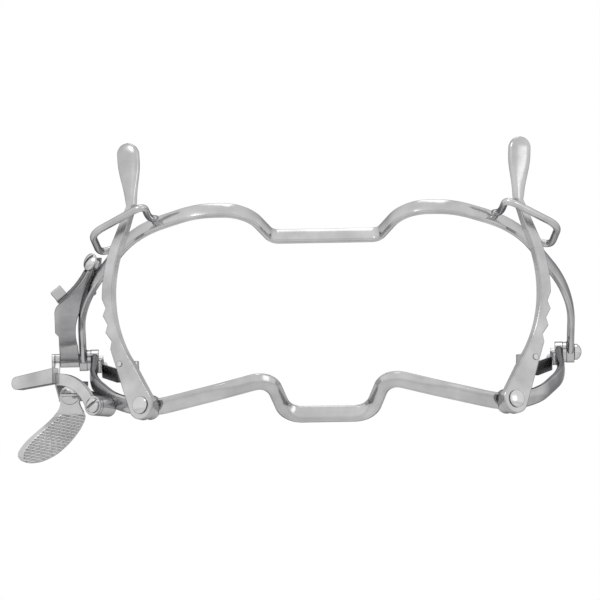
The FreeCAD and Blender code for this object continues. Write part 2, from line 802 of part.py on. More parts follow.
def holder_bracket():
    """Curved band on the left that rises from its knuckle on the hinge pin."""
    head, edge_middle, shoulder = leaf_edge(0)
    knuckle_left = bracket_knuckle_start + size("bracket_knuckle_width")
    side_top = front(beside("bracket_side"), size("bracket_side_top"))
    side_foot = front(beside("bracket_side"), size("bracket_side_foot"))
    left_foot = front(knuckle_left, size("bracket_side_foot") - (beside("bracket_side") - knuckle_left))
    left_end = front(knuckle_left, -size("knuckle_radius"))
    right_end = front(bracket_knuckle_start, -size("knuckle_radius"))
    waist = front(beside("bracket_waist"), size("bracket_waist_z"))
    crown = front(beside("bracket_head") - size("bracket_head_width"), size("bracket_head_z"))
    belly = front(beside("bracket_belly"), size("bracket_belly_z"))
    right_foot = front(bracket_knuckle_start, size("bracket_bend_rise"))
    inner_middle = edge_middle + (crown - head + waist - shoulder) / 2
    corner = (shoulder + side_top) / 2 + unit(Vector(-1, 0, 1)) * size("bracket_corner_swell")
    edges = [("arc", head, edge_middle, shoulder), ("arc", shoulder, corner, side_top),
             ("line", side_top, side_foot), ("line", side_foot, left_foot), ("line", left_foot, left_end),
             ("line", left_end, right_end), ("line", right_end, right_foot),
             ("arc", right_foot, belly, waist), ("arc", waist, inner_middle, crown), ("line", crown, head)]
    band = pressed(edges, Vector(0, 1, 0), 2 * AHEAD).common(bracket_sheet(size("sheet_thickness")))
    start = ALONG_X * -bracket_knuckle_start
    band = band.fuse(rod(start, -ALONG_X, size("knuckle_radius"), size("bracket_knuckle_width")))
    band = band.fuse(rod(catch_seat, -catch_axis, size("catch_boss_radius"), size("catch_boss_length")))
    band = band.cut(rod(start, -ALONG_X, hole_radius, size("bracket_knuckle_width")))
    band = band.cut(rod(catch_seat, -catch_axis, size("small_shank_radius"), size("catch_boss_length")))
    return band.cut(upper_bow_shape).removeSplitter()


def seated_rod(start, direction, radius, length, *neighbours):
    """Rod between two neighbours: it starts inside the first and ends exactly on the second."""
    piece = rod(start, direction, radius, length)
    for neighbour in neighbours:
        piece = piece.cut(neighbour)
    return min(piece.Solids, key=lambda solid: (solid.CenterOfMass - start - direction * half_height).Length)


sheet_rise = unit(Vector(0, size("bracket_bend_reach") - size("bracket_top_reach"),
                         size("bracket_top_rise") - size("bracket_bend_rise")))


def sheet_reach(height):
    """Reach in front of the hinges at which the bracket's rising sheet has a height."""
    return size("bracket_bend_reach") - (height - size("bracket_bend_rise")) * sheet_rise.y / sheet_rise.z


def catch_frame():
    """Seat of the catch screw on the bracket's head, and the direction that it faces."""
    turn = math.radians(size("catch_turn_angle"))
    tilt = math.radians(size("catch_tilt_angle"))
    axis = Vector(-math.sin(turn) * math.cos(tilt), -math.cos(turn) * math.cos(tilt), math.sin(tilt))
    head = Vector(-beside("bracket_head"), -sheet_reach(size("bracket_head_z")), size("bracket_head_z"))
    return head + axis * size("catch_seat_out") - Vector(0, 0, size("catch_seat_drop")), axis


catch_seat, catch_axis = catch_frame()
bracket_shape = holder_bracket()
keep("holder_bracket", bracket_shape)
headed_pin("catch_screw", catch_seat, catch_axis, "small_shank_radius", "Sizes.catch_boss_length",
           "catch_head")
bow_top = RAISED.Rotation.multVec(Vector(0, 0, 1))
for stud in ("upper", "lower"):
    foot = RAISED.multVec(upper_point(-beside(stud + "_stud"), size(stud + "_stud_reach")))
    keep("stand_off_" + stud, seated_rod(foot, bow_top, size(stud + "_stud_radius"), size("stud_length"),
                                         upper_bow_shape, bracket_shape))

# Holder web: knuckle, sheet, pivot lug and foot boss on the lower bow

def foot_frame():
    """Foot of the squeeze tab: its point and the directions right, up and outwards."""
    turn = math.radians(size("foot_turn_angle"))
    out = Vector(-math.sin(turn), -math.cos(turn), 0)
    point = Vector(-beside("foot"), -size("foot_reach"), -size("foot_drop"))
    return point, Vector(math.cos(turn), -math.sin(turn), 0), Vector(0, 0, 1), out


def paddle_pivot(reach):
    """Point of the paddle's pivot axis at a reach in front of the hinges."""
    return Vector(-beside("paddle_pivot"), -reach, -size("paddle_pivot_drop"))


def holder_web():
    """Sheet that links the hinge pin, the paddle's pivot and the squeeze tab's foot to the lower bow."""
    knuckle_left = web_knuckle_start + size("web_knuckle_width")
    lug_front = size("paddle_face_reach") - size("paddle_thickness") - size("face_clearance")
    lug_back = lug_front - size("lug_thickness")
    seat_x = lower_hinge_x + half_bar - size("web_seat_overlap")
    end_reach = size("foot_reach") - size("web_tail_short")
    outline = [(knuckle_left, -size("knuckle_radius")), (knuckle_left, size("web_step_reach")),
               (beside("web_side"), lug_back), (beside("web_side"), lug_front),
               (beside("web_tail"), lug_front), (beside("web_tail_end"), end_reach),
               (beside("lower_corner"), end_reach),
               (seat_x, size("web_seat_reach")), (beside("web_inner"), size("web_seat_reach")),
               (beside("web_inner"), size("web_neck_reach")), (web_knuckle_start, size("web_step_reach")),
               (web_knuckle_start, -size("knuckle_radius"))]
    plan = pressed(chain([Vector(-x, -reach, -AHEAD) for x, reach in outline]), Vector(0, 0, 1), 2 * AHEAD)
    line = [(0, 0), (size("web_bend_reach"), -size("web_bend_drop")),
            (end_reach, -size("web_end_drop"))]
    web = bent_sheet(line, size("web_bend_radius"), size("sheet_thickness"), -lower_hinge_x, AHEAD)
    web = web.common(plan)
    start = ALONG_X * -web_knuckle_start
    web = web.fuse(rod(start, -ALONG_X, size("knuckle_radius"), size("web_knuckle_width")))
    web = web.fuse(rod(paddle_pivot(lug_back), Vector(0, -1, 0), size("lug_radius"), size("lug_thickness")))
    web = web.fuse(rod(foot_point, -foot_out, size("foot_radius"), size("foot_length")))
    web = web.cut(rod(start, -ALONG_X, hole_radius, size("web_knuckle_width")))
    web = web.cut(rod(paddle_pivot(lug_back), Vector(0, -1, 0), size("small_shank_radius"),
                      size("lug_thickness")))
    web = web.cut(rod(foot_point, -foot_out, size("small_shank_radius"), size("foot_length") / 2))
    web = web.cut(lower_bow_shape)
    return max(web.Solids, key=lambda solid: solid.Volume).removeSplitter()


foot_point, foot_right, foot_rise, foot_out = foot_frame()
keep("holder_web", holder_web())

# Squeeze tab: an eye under the foot screw, a curved strip and a bevelled thumb tab

def polar(centre, radius, degrees):
    """Point of a circle at an angle."""
    angle = math.radians(degrees)
    return centre + Vector(radius * math.cos(angle), radius * math.sin(angle), 0)


def squeeze_tab():
    """Tab in its own plane: X to the right, Y up, Z outwards from the foot."""
    centre = Vector(size("strip_centre_x"), size("strip_centre_y"), 0)
    inner = size("strip_inner_radius")
    outer = inner + size("strip_width")
    first = size("strip_start_angle")
    last = size("strip_end_angle")
    middle = (first + last) / 2
    strip = [("arc", polar(centre, outer, first), polar(centre, outer, middle), polar(centre, outer, last)),
             ("line", polar(centre, outer, last), polar(centre, inner, last)),
             ("arc", polar(centre, inner, last), polar(centre, inner, middle), polar(centre, inner, first)),
             ("line", polar(centre, inner, first), polar(centre, outer, first))]
    up = Vector(0, 0, 1)
    near = Vector(size("pad_near_x"), size("pad_near_y"), 0)
    far = Vector(size("pad_far_x"), size("pad_far_y"), 0)
    near_half = Vector(0, size("pad_near_half"), 0)
    far_half = Vector(0, size("pad_far_half"), 0)
    pad = [("line", far + far_half, near + near_half), ("line", near + near_half, near - near_half),
           ("line", near - near_half, far - far_half),
           ("arc", far - far_half, far - Vector(size("pad_far_half"), 0, 0), far + far_half)]
    block = pressed(pad, up, size("pad_thickness"))
    bevel = size("pad_bevel")
    top = size("pad_thickness")
    wedge_far = far + far_half - (near - far) / 2
    wedge_near = near + near_half + (near - far) / 2
    corners = [wedge_far + Vector(0, bevel, top - bevel), wedge_far + Vector(0, -bevel, top + bevel),
               wedge_far + Vector(0, bevel, top + bevel)]
    wedge = Part.makePolygon(corners + corners[:1])
    block = block.cut(Part.Face(wedge).extrude(wedge_near - wedge_far))
    eye = rod(Vector(), up, size("foot_radius"), size("strip_thickness"))
    tab = pressed(strip, up, size("strip_thickness")).multiFuse([block, eye])
    tab = tab.cut(rod(Vector(), up, size("small_shank_radius"), size("strip_thickness")))
    return tab.removeSplitter()


keep("squeeze_tab", squeeze_tab(), placed_on(foot_point, foot_right, foot_rise, foot_out))
headed_pin("foot_screw", foot_point + foot_out * size("strip_thickness"), foot_out, "small_shank_radius",
           "Sizes.strip_thickness + Sizes.foot_length / 2", "small_head")

# Thumb paddle: a ribbed plate that swings on its screw in front of the web's lug

def paddle_point(name):
    """Named corner of the paddle, measured from its pivot."""
    return Vector(size(name + "_x"), size(name + "_y"), 0)


def thumb_paddle():
    """Paddle in its own plane: X to the right, Y up, Z to the front."""
    up = Vector(0, 0, 1)
    thickness = size("paddle_thickness")
    corners = [paddle_point("paddle_" + name)
               for name in ("neck_right", "right", "toe", "low", "far", "neck_left")]
    ear = size("paddle_ear_radius")
    left = tangent_point(corners[-1], Vector(), ear, 1)
    right = tangent_point(corners[0], Vector(), ear, -1)
    points = [right] + corners + [left]
    edges = [("line", first, second) for first, second in zip(points, points[1:])]
    edges.append(("arc", left, Vector(0, ear, 0), right))
    plate_shape = pressed(edges, up, thickness)
    slope = Rotation(up, -size("rib_slope_angle"))
    grooves = []
    for rib in range(int(size("rib_count"))):
        depth = size("rib_first") + rib * size("rib_pitch")
        groove = Part.makeBox(AHEAD, size("rib_groove"), size("rib_groove"))
        groove.translate(Vector(-AHEAD / 2, -depth, thickness - size("rib_groove") / 2))
        groove.Placement = Placement(Vector(), slope) * groove.Placement
        grooves.append(groove)
    plate_shape = plate_shape.cut(Part.makeCompound(grooves))
    bore = rod(Vector(), up, size("small_shank_radius") + size("running_clearance"), thickness)
    return plate_shape.cut(bore)


paddle_back = paddle_pivot(size("paddle_face_reach") - size("paddle_thickness"))
keep("thumb_paddle", thumb_paddle(), placed_on(paddle_back, ALONG_X, Vector(0, 0, 1), Vector(0, -1, 0)))
headed_pin("paddle_screw", paddle_pivot(size("paddle_face_reach") + size("face_clearance")), Vector(0, -1, 0),
           "small_shank_radius", "Sizes.paddle_thickness + 2 * Sizes.face_clearance + Sizes.lug_thickness",
           "paddle_head")


def paddle_hinge():
    """Pivot and axis of the paddle; turning about it lifts the paddle's far end."""
    return paddle_back, Vector(0, 1, 0)


# Spring catch: a leaf along the bracket's upper edge with a peg at its free end

def catch_leaf():
    """Strip that follows the bracket's edge at a small gap, as deep as the sheet is wide."""
    near = leaf_edge(size("leaf_gap"))
    far = leaf_edge(size("leaf_gap") + size("leaf_thickness"))
    edges = [("arc", *near), ("line", near[2], far[2]), ("arc", *reversed(far)), ("line", far[0], near[0])]
    leaf = pressed(edges, Vector(0, 1, 0), 2 * AHEAD).common(bracket_sheet(size("leaf_width")))
    leaf = leaf.cut(rod(catch_seat, -catch_axis, size("catch_boss_radius") + size("face_clearance"), AHEAD))
    return leaf.cut(rod(catch_seat - catch_axis * size("catch_play"), catch_axis,
                        size("catch_head_radius") + size("catch_play"), AHEAD))


def catch_peg():
    """Square peg that stands on the leaf's free end."""
    near = leaf_edge(size("leaf_gap") + size("leaf_thickness"))
    run = unit(near[2] - near[1])
    out = unit(Vector(run.z, 0, -run.x))
    foot = near[2] - run * size("peg_length")
    foot.y = -sheet_reach(foot.z) - size("peg_length") / 2
    foot = foot - out * size("leaf_thickness")
    box = Part.makeBox(size("peg_length"), size("peg_length"), size("peg_height") + size("leaf_thickness"))
    box.Placement = Placement(foot, Rotation(run, Vector(0, 1, 0), out, "ZXY"))
    return box.cut(leaf_shape).cut(bracket_shape)


def catch_hinge():
    """Root of the leaf and the axis about which its free end lifts off the bracket."""
    root = leaf_edge(size("leaf_gap"))[0]
    return Vector(root.x, -sheet_reach(root.z), root.z), Vector(0, 1, 0)


leaf_shape = catch_leaf()
keep("catch_leaf", leaf_shape)
keep("catch_peg", catch_peg())

# Lever springs: leaves along the inside of the lower bow's arms that push the levers outwards

def spring_point(name, side):
    """Named point of a spring leaf's line."""
    return Vector(side * beside(name), -size(name + "_reach"), -size(name + "_drop"))


def lever_spring(name, side):
    """Leaf with a curled end, its block on the bow's arm and its screw."""
    points = [spring_point("spring_" + part, side) for part in ("root", "knee", "mid", "tip")]
    heading = unit(points[3] - points[2])
    up = Vector(0, 0, 1)
    back = heading.cross(up) * -side
    curl = size("curl_radius")
    tail = points[3] + heading * curl * 2
    loop = tail + back * curl * 2
    route = BentPath([points[0] + unit(points[0] - points[1]) * size("spring_width") / 2] + points[1:3]
                     + [tail, loop, loop - heading * curl * 2],
                     [size("spring_bend_radius"), size("spring_bend_radius"), curl, curl], up)
    leaf = carry(route, strip_section(size("spring_thickness"), size("spring_width")))
    inward = ALONG_X * -side
    face = points[0] + inward * (size("spring_thickness") / 2)
    bore = rod(points[0] - inward * size("spring_width"), inward,
               size("spring_shank_radius") + size("running_clearance"), 2 * size("spring_width"))
    keep("lever_spring_" + name, leaf.cut(bore))
    width = size("spring_block_width")
    arm_face = lower_hinge_x - half_bar
    depth = arm_face - beside("spring_root") - size("spring_thickness") / 2 - size("face_clearance")
    block = Part.makeBox(depth + half_bar / 2, width, width)
    block.translate(Vector(-depth - half_bar / 2, -width / 2, -width / 2))
    block.Placement = Placement(Vector(side * (arm_face + half_bar / 2), points[0].y, points[0].z),
                                Rotation(up, 0 if side == 1 else 180)) * block.Placement
    block = block.cut(lower_bow_shape).cut(bore)
    keep("spring_block_" + name, max(block.Solids, key=lambda solid: solid.Volume))
    headed_pin("spring_screw_" + name, face + inward * size("face_clearance"), inward, "spring_shank_radius",
               "Sizes.spring_root_inset - 3 * Sizes.bar_thickness / 2 - Sizes.spacer_thickness"
               " + Sizes.spring_thickness / 2 + Sizes.face_clearance", "spring_head")


def spring_hinge(side):
    """Root of a spring leaf and the axis about which its tip moves inwards."""
    return spring_point("spring_root", side), Vector(0, 0, -side)


for name, side in SIDES.items():
    lever_spring(name, side)

# Frame: the origin moves from the hinge axis to the lower rest's under face

doc.recompute()
rest_run = lower_route.runs[len(lower_route.runs) // 2]
rest_under = (rest_run[0] + rest_run[1]) / 2 - rest_run[3] * half_height
TO_ORIGIN = Placement(-rest_under, Rotation())
for feature in bodies.values():
    feature.Placement = TO_ORIGIN * feature.Placement

# Checks and files

doc.recompute()
for label, feature in bodies.items():
    state = [word for word in feature.State if word in ("Invalid", "Error")]
    shape = feature.Shape
    if state or shape.isNull() or not shape.isValid():
        raise RuntimeError("%s is not sound: %s" % (label, state))
for item in doc.Objects:
    if "Invalid" in item.State or "Error" in item.State:
        raise RuntimeError("%s failed: %s" % (item.Name, item.State))
for label, feature in bodies.items():
    feature.Shape.exportStep("parts/%s.step" % label)
    print("%s: %d solid, %.1f mm3" % (label, len(feature.Shape.Solids), feature.Shape.Volume))
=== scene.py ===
import json
import math

import bpy
import numpy as np
from mathutils import Matrix, Vector


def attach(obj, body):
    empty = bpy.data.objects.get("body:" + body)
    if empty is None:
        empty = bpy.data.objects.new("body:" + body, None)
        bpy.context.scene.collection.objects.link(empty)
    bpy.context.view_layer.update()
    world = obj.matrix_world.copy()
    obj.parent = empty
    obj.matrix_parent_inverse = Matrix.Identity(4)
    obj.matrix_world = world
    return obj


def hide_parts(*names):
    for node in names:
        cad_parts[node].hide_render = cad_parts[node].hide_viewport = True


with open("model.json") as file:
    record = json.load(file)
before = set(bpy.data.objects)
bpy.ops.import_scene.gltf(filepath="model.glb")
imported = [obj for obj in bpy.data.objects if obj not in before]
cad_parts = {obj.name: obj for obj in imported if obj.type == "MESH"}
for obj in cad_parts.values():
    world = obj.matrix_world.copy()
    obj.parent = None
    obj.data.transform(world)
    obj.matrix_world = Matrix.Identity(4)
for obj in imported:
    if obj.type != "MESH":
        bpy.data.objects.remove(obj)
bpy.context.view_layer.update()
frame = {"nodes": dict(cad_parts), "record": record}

MM = 0.001
SIDES = {"right": 1, "left": -1}

# Places that the pieces below share with the solids

HINGE_AXIS = np.array([0.0, 52.125, 21.096]) * MM
RAISE = math.radians(33.0)
LEVER_PIVOT = np.array([45.656, -54.492, -16.714]) * MM
LEVER_FACING = math.radians(34.1)
LEVER_LEAN = math.radians(4.5)
LEVER_MIDDLE = 3.4 * MM


def unit(vector):
    """Vector of length one."""
    return vector / np.linalg.norm(vector)


def on_side(points, side):
    """Points of the right side, or their mirror images on the left."""
    return points * np.array([side, 1.0, 1.0])


def raised(points):
    """Points (x, reach, rise) of the upper bow's plane in millimetres, placed on the raised bow."""
    x, reach, rise = (np.asarray(points, float) * MM).T
    y = -reach * math.cos(RAISE) + rise * math.sin(RAISE)
    z = reach * math.sin(RAISE) + rise * math.cos(RAISE)
    return np.stack([x, y, z], axis=1) + HINGE_AXIS


# Surfaces

NEARLY_HALF = 0.48


def closed_mesh(name, grid, smooth=True):
    """Mesh of a grid of rings: each ring is joined to the next, and both ends get a cap."""
    rings, around = grid.shape[:2]
    first = np.arange(rings * around).reshape(rings, around)
    following = np.roll(first, -1, axis=1)
    quads = np.stack([first[:-1], following[:-1], following[1:], first[1:]], axis=-1).reshape(-1, 4)
    faces = quads.tolist() + [first[0][::-1].tolist(), first[-1].tolist()]
    mesh = bpy.data.meshes.new(name)
    mesh.from_pydata(grid.reshape(-1, 3).tolist(), [], faces)
    mesh.update()
    mesh.polygons.foreach_set("use_smooth", [smooth] * len(mesh.polygons))
    piece = bpy.data.objects.new(name, mesh)
    bpy.context.scene.collection.objects.link(piece)
    return piece


def carried_frames(path):
    """Directions along a path and two across it that turn with it as little as they can."""
    heading = np.gradient(path, axis=0)
    heading /= np.linalg.norm(heading, axis=1)[:, None]
    across = np.zeros_like(path)
    across[0] = unit(np.cross(heading[0], [0.0, 0.0, 1.0]))
    for index in range(1, len(path)):
        turned = across[index - 1] - heading[index] * np.dot(across[index - 1], heading[index])
        across[index] = unit(turned)
    return heading, across, np.cross(heading, across)


def rounded_path(corners, reach, steps):
    """Line through corners, each cut by a quadratic curve that starts and ends at a reach from it."""
    path = [corners[0]]
    for before, corner, after in zip(corners, corners[1:], corners[2:]):
        back, ahead = before - corner, after - corner
        first = corner + unit(back) * min(reach, NEARLY_HALF * np.linalg.norm(back))
        last = corner + unit(ahead) * min(reach, NEARLY_HALF * np.linalg.norm(ahead))
        for t in np.linspace(0.0, 1.0, steps):
            path.append(first * (1 - t) ** 2 + 2 * corner * t * (1 - t) + last * t ** 2)
    path.append(corners[-1])
    return np.array(path)


# Wire bails: loops that start and end in the upper bow's top edge, with corners in the bow's plane

BAIL_WIRE = 0.95 * MM
BAIL_BEND = 3.6 * MM
BAIL_FRONT_FOOT = (43.4, 57.6, 1.2)
BAIL_CORNERS = [(45.3, 58.6, 0.8), (46.5, 67.6, -2.2), (60.1, 57.4, -3.2), (58.4, 45.2, 0.3)]
BAIL_BACK_FOOT = (54.6, 45.8, 1.0)
BAIL_BEND_STEPS, BAIL_AROUND = 14, 28


def bail_wire(name, side):
    """Tube of circles carried along the loop: point(s, a) = path(s) + r (cos a across + sin a up)."""
    corners = on_side(raised([BAIL_FRONT_FOOT] + BAIL_CORNERS + [BAIL_BACK_FOOT]), side)
    path = rounded_path(corners, BAIL_BEND, BAIL_BEND_STEPS)
    heading, across, up = carried_frames(path)
    angle = np.linspace(0.0, 2 * math.pi, BAIL_AROUND, endpoint=False)[None, :, None]
    ring = across[:, None] * np.cos(angle) + up[:, None] * np.sin(angle)
    piece = closed_mesh("bail_wire_" + name, path[:, None] + BAIL_WIRE * ring)
    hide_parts("bail_" + name)
    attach(piece, "upper_frame")
    return piece


# Thumb grips: forged ends of the levers, narrow over the blade's neck and broad like a spoon above it

GRIP_RISE = np.array([51.2, 52.4, 68.9]) * MM
GRIP_ALONG = np.array([3.13, 2.6, 3.6]) * MM
GRIP_RINGS, GRIP_AROUND = 90, 48
NECK_HALF_WIDTH, SPOON_WIDER, FOOT_NARROWER = 1.42, 1.55, 0.34
GRIP_HALF_DEPTH, FOOT_THINNER = 1.2, 0.25
FOOT_SHARE = 0.16
SWELL_START, SWELL_SHARE = 0.056, 0.667
CLOSE_START, NEARLY_CLOSED = 0.83, 0.999
TOP_DEPTH = 0.35
GRIP_TWIST = math.radians(14.0)
GRIP_POWER = 0.72


def lever_axes(side):
    """Directions along, up and out of a lever, and its middle plane's point at the pivot."""
    normal = np.array([math.sin(LEVER_FACING) * math.cos(LEVER_LEAN),
                       -math.cos(LEVER_FACING) * math.cos(LEVER_LEAN), math.sin(LEVER_LEAN)])
    rise = unit(np.cross(normal, [1.0, 0.0, 0.0]))
    along = np.cross(rise, normal)
    middle = LEVER_PIVOT + HINGE_AXIS + normal * LEVER_MIDDLE
    return [on_side(item, side) for item in (along, rise, normal, middle)]


def squared_round(wave):
    """Sine or cosine that keeps its sign and is raised to a power, which draws a circle out to a square."""
    return np.sign(wave) * np.abs(wave) ** GRIP_POWER


def thumb_grip(name, side):
    """Superellipse rings: half width and half depth swell from the neck to the spoon and close at the top.

    With s from 0 to 1 up the grip, the half width is neck - foot (1 - s / a)^2 + swell smooth(s), drawn in
    by (1 - ((s - c) / (1 - c))^2)^(1/2) past c, and the ring turns by a twist that grows with s."""
    along, rise, normal, middle = lever_axes(side)
    s = np.linspace(0.0, 1.0, GRIP_RINGS)
    swell = np.clip((s - SWELL_START) / SWELL_SHARE, 0.0, 1.0)
    swell = swell * swell * (3 - 2 * swell)
    foot = np.clip(1 - s / FOOT_SHARE, 0.0, 1.0) ** 2
    closing = np.clip((s - CLOSE_START) / (1 - CLOSE_START), 0.0, NEARLY_CLOSED)
    round_top = np.sqrt(1 - closing ** 2)
    half_width = (NECK_HALF_WIDTH - FOOT_NARROWER * foot + SPOON_WIDER * swell) * MM * round_top
    half_depth = (GRIP_HALF_DEPTH - FOOT_THINNER * foot) * MM * (TOP_DEPTH + (1 - TOP_DEPTH) * round_top)
    height = GRIP_RISE[0] + (GRIP_RISE[-1] - GRIP_RISE[0]) * s
    path = middle + along * np.interp(height, GRIP_RISE, GRIP_ALONG)[:, None] + rise * height[:, None]
    twist = (GRIP_TWIST * swell)[:, None]
    wide = along * np.cos(twist) + normal * np.sin(twist)
    deep = normal * np.cos(twist) - along * np.sin(twist)
    angle = np.linspace(0.0, 2 * math.pi, GRIP_AROUND, endpoint=False)
    across = half_width[:, None] * squared_round(np.cos(angle))
    inwards = half_depth[:, None] * squared_round(np.sin(angle))
    grid = path[:, None] + wide[:, None] * across[..., None] + deep[:, None] * inwards[..., None]
    if side > 0:
        grid = grid[:, ::-1]
    piece = closed_mesh("thumb_grip_" + name, grid)
    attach(piece, name + "_lever")
    return piece


# Plates with broken edges

def resampled(outline, step):
    """Closed outline with points at even distances, which keeps its corners."""
    points = []
    for start, end in zip(outline, np.roll(outline, -1, axis=0)):
        count = max(1, int(round(np.linalg.norm(end - start) / step)))
        points.append(start + (end - start) * np.linspace(0.0, 1.0, count, endpoint=False)[:, None])
    return np.concatenate(points)


def inset(outline, depth):
    """Closed outline moved inwards along the mean of its two edge normals at each point."""
    before = outline - np.roll(outline, 1, axis=0)
    after = np.roll(outline, -1, axis=0) - outline
    before /= np.linalg.norm(before, axis=1)[:, None]
    after /= np.linalg.norm(after, axis=1)[:, None]
    inward = np.stack([-(before + after)[:, 1], (before + after)[:, 0]], axis=1)
    inward /= np.linalg.norm(inward, axis=1)[:, None]
    return outline + inward * depth


def edged_plate(name, outline, low, high, bevel, axes):
    """Plate between two heights whose rings are the outline, drawn in by the bevel at both faces."""
    across, up, out, origin = axes
    drawn_in = inset(outline, bevel)
    rings = [(drawn_in, low), (outline, low + bevel), (outline, high - bevel), (drawn_in, high)]
    grid = [origin + ring[:, :1] * across + ring[:, 1:] * up + level * out for ring, level in rings]
    return closed_mesh(name, np.stack(grid), smooth=False)


# Lever blades, in millimetres from the pivot: along the lever's face first, then up it

HUB_RADIUS = 3.7
BLADE_CENTRE = np.array([-22.9, 28.5])
BLADE_RADIUS = 34.7
BLADE_WIDTH = 3.8
BLADE_SHIFT = np.array([0.35, 1.0])
BLADE_HALF_THICKNESS = 1.0 * MM
BLADE_BEVEL = 0.22 * MM
TOOTH_FIRST, TOOTH_PITCH, TOOTH_COUNT, TOOTH_DEPTH = 15.6, 4.45, 4, 1.1
GULLET_SHARE = 0.45
BACK_FOOT, BACK_TOP = 0.9, 42.2
BELLY_TOP, BELLY_FOOT = 44.7, 11.0
NECK_FOOT = np.array([2.6, 52.4])
NECK_HALF, NECK_TOP_HALF, NECK_RUN = 1.05, 0.9, 2.0
OUTLINE_STEP = 0.9 * MM


def arc_at(centre, radius, height):
    """Point of a circle's right side at a height."""
    return np.array([centre[0] + math.sqrt(radius ** 2 - (height - centre[1]) ** 2), height])


def touch(outside, turn):
    """Where a line from an outside point touches the round hub, on the side that the turn's sign gives."""
    angle = math.atan2(outside[1], outside[0]) - turn * math.acos(HUB_RADIUS / np.linalg.norm(outside))
    return HUB_RADIUS * np.array([math.cos(angle), math.sin(angle)])


def toothed_edge():
    """Tips on the outer arc with a gullet above each but the last, then the plain arc up to the neck."""
    tips = TOOTH_FIRST + TOOTH_PITCH * np.arange(TOOTH_COUNT)
    teeth = []
    for height in tips:
        teeth.append(arc_at(BLADE_CENTRE, BLADE_RADIUS, height))
        if height < tips[-1]:
            gullet = height + GULLET_SHARE * TOOTH_PITCH
            teeth.append(arc_at(BLADE_CENTRE, BLADE_RADIUS - TOOTH_DEPTH, gullet))
    plain = np.linspace(tips[-1] + BACK_FOOT, BACK_TOP, 14)
    return teeth + [arc_at(BLADE_CENTRE, BLADE_RADIUS, height) for height in plain]


def lever_blade(name, side):
    """Blade: round hub, toothed outer arc, smooth inner arc and a neck that ends inside the grip."""
    teeth = toothed_edge()
    inner_centre = BLADE_CENTRE + BLADE_SHIFT
    inner_radius = BLADE_RADIUS - BLADE_WIDTH
    belly = [arc_at(inner_centre, inner_radius, height) for height in np.linspace(BELLY_TOP, BELLY_FOOT, 30)]
    first, last = touch(teeth[0], 1), touch(belly[-1], -1)
    start, end = math.atan2(last[1], last[0]), math.atan2(first[1], first[0])
    turn = np.linspace(start, end + (2 * math.pi if end < start else 0.0), 24)
    hub = [HUB_RADIUS * np.array([math.cos(angle), math.sin(angle)]) for angle in turn]
    neck = [NECK_FOOT + step for step in ([NECK_HALF, 0.0], [NECK_TOP_HALF, NECK_RUN],
                                          [-NECK_TOP_HALF, NECK_RUN], [-NECK_HALF, 0.0])]
    outline = np.array(hub[:-1] + [first] + teeth + neck + belly) * MM
    blade = edged_plate("ratchet_blade_" + name, resampled(outline, OUTLINE_STEP), -BLADE_HALF_THICKNESS,
                        BLADE_HALF_THICKNESS, BLADE_BEVEL, lever_axes(side))
    if side < 0:
        blade.data.flip_normals()
    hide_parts("ratchet_lever_" + name)
    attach(blade, name + "_lever")
    return blade


# Thumb paddle: an oval leaf with a broad bevel on its left edge and fine ribs across it, in millimetres

PADDLE_PLACE = np.array([-66.7, -35.7, -12.0])
PADDLE_LEFT = np.array([(-0.5, 2.55), (-1.9, 1.8), (-2.6, 0.0), (-2.5, -2.0), (-3.2, -4.0), (-5.6, -6.6),
                        (-8.6, -9.1), (-11.3, -11.5), (-13.2, -13.8), (-13.7, -15.2), (-13.3, -16.2),
                        (-12.5, -16.8)])
PADDLE_RIGHT = np.array([(0.5, 2.55), (1.9, 1.8), (2.6, 0.0), (2.7, -2.2), (3.95, -5.2), (3.2, -7.6),
                         (1.6, -10.1), (-0.9, -12.9), (-3.9, -15.3), (-7.4, -16.9), (-10.0, -17.3),
                         (-11.5, -17.15)])
PADDLE_STATIONS = 26
PADDLE_ACROSS = np.concatenate([[0.0, 0.012], np.linspace(0.03, 0.97, 46), [0.988, 1.0]])
PADDLE_THICKNESS = 2.0
BROAD_BEVEL_WIDTH, BROAD_BEVEL_DROP = 1.5, 0.95
RIM = 0.35
RIB_START, RIB_FADE = -4.6, 0.8
RIB_PITCH = 0.76
RIB_SLOPE = math.radians(12.0)
RIB_DEPTH = 0.34
GROOVE_LIFT, GROOVE_FLOOR = 0.2, 0.8


def through(points, steps):
    """Smooth line through points: each span is a cubic whose slopes come from its neighbours."""
    padded = np.concatenate([points[:1], points, points[-1:]])
    t = np.linspace(0.0, 1.0, steps, endpoint=False)[:, None]
    spans = []
    for before, start, end, after in zip(padded, padded[1:], padded[2:], padded[3:]):
        slope_in, slope_out = (end - before) / 2, (after - start) / 2
        spans.append(start * (2 * t ** 3 - 3 * t ** 2 + 1) + end * (3 * t ** 2 - 2 * t ** 3)
                     + slope_in * (t ** 3 - 2 * t ** 2 + t) + slope_out * (t ** 3 - t ** 2))
    return np.concatenate(spans + [points[-1:]])


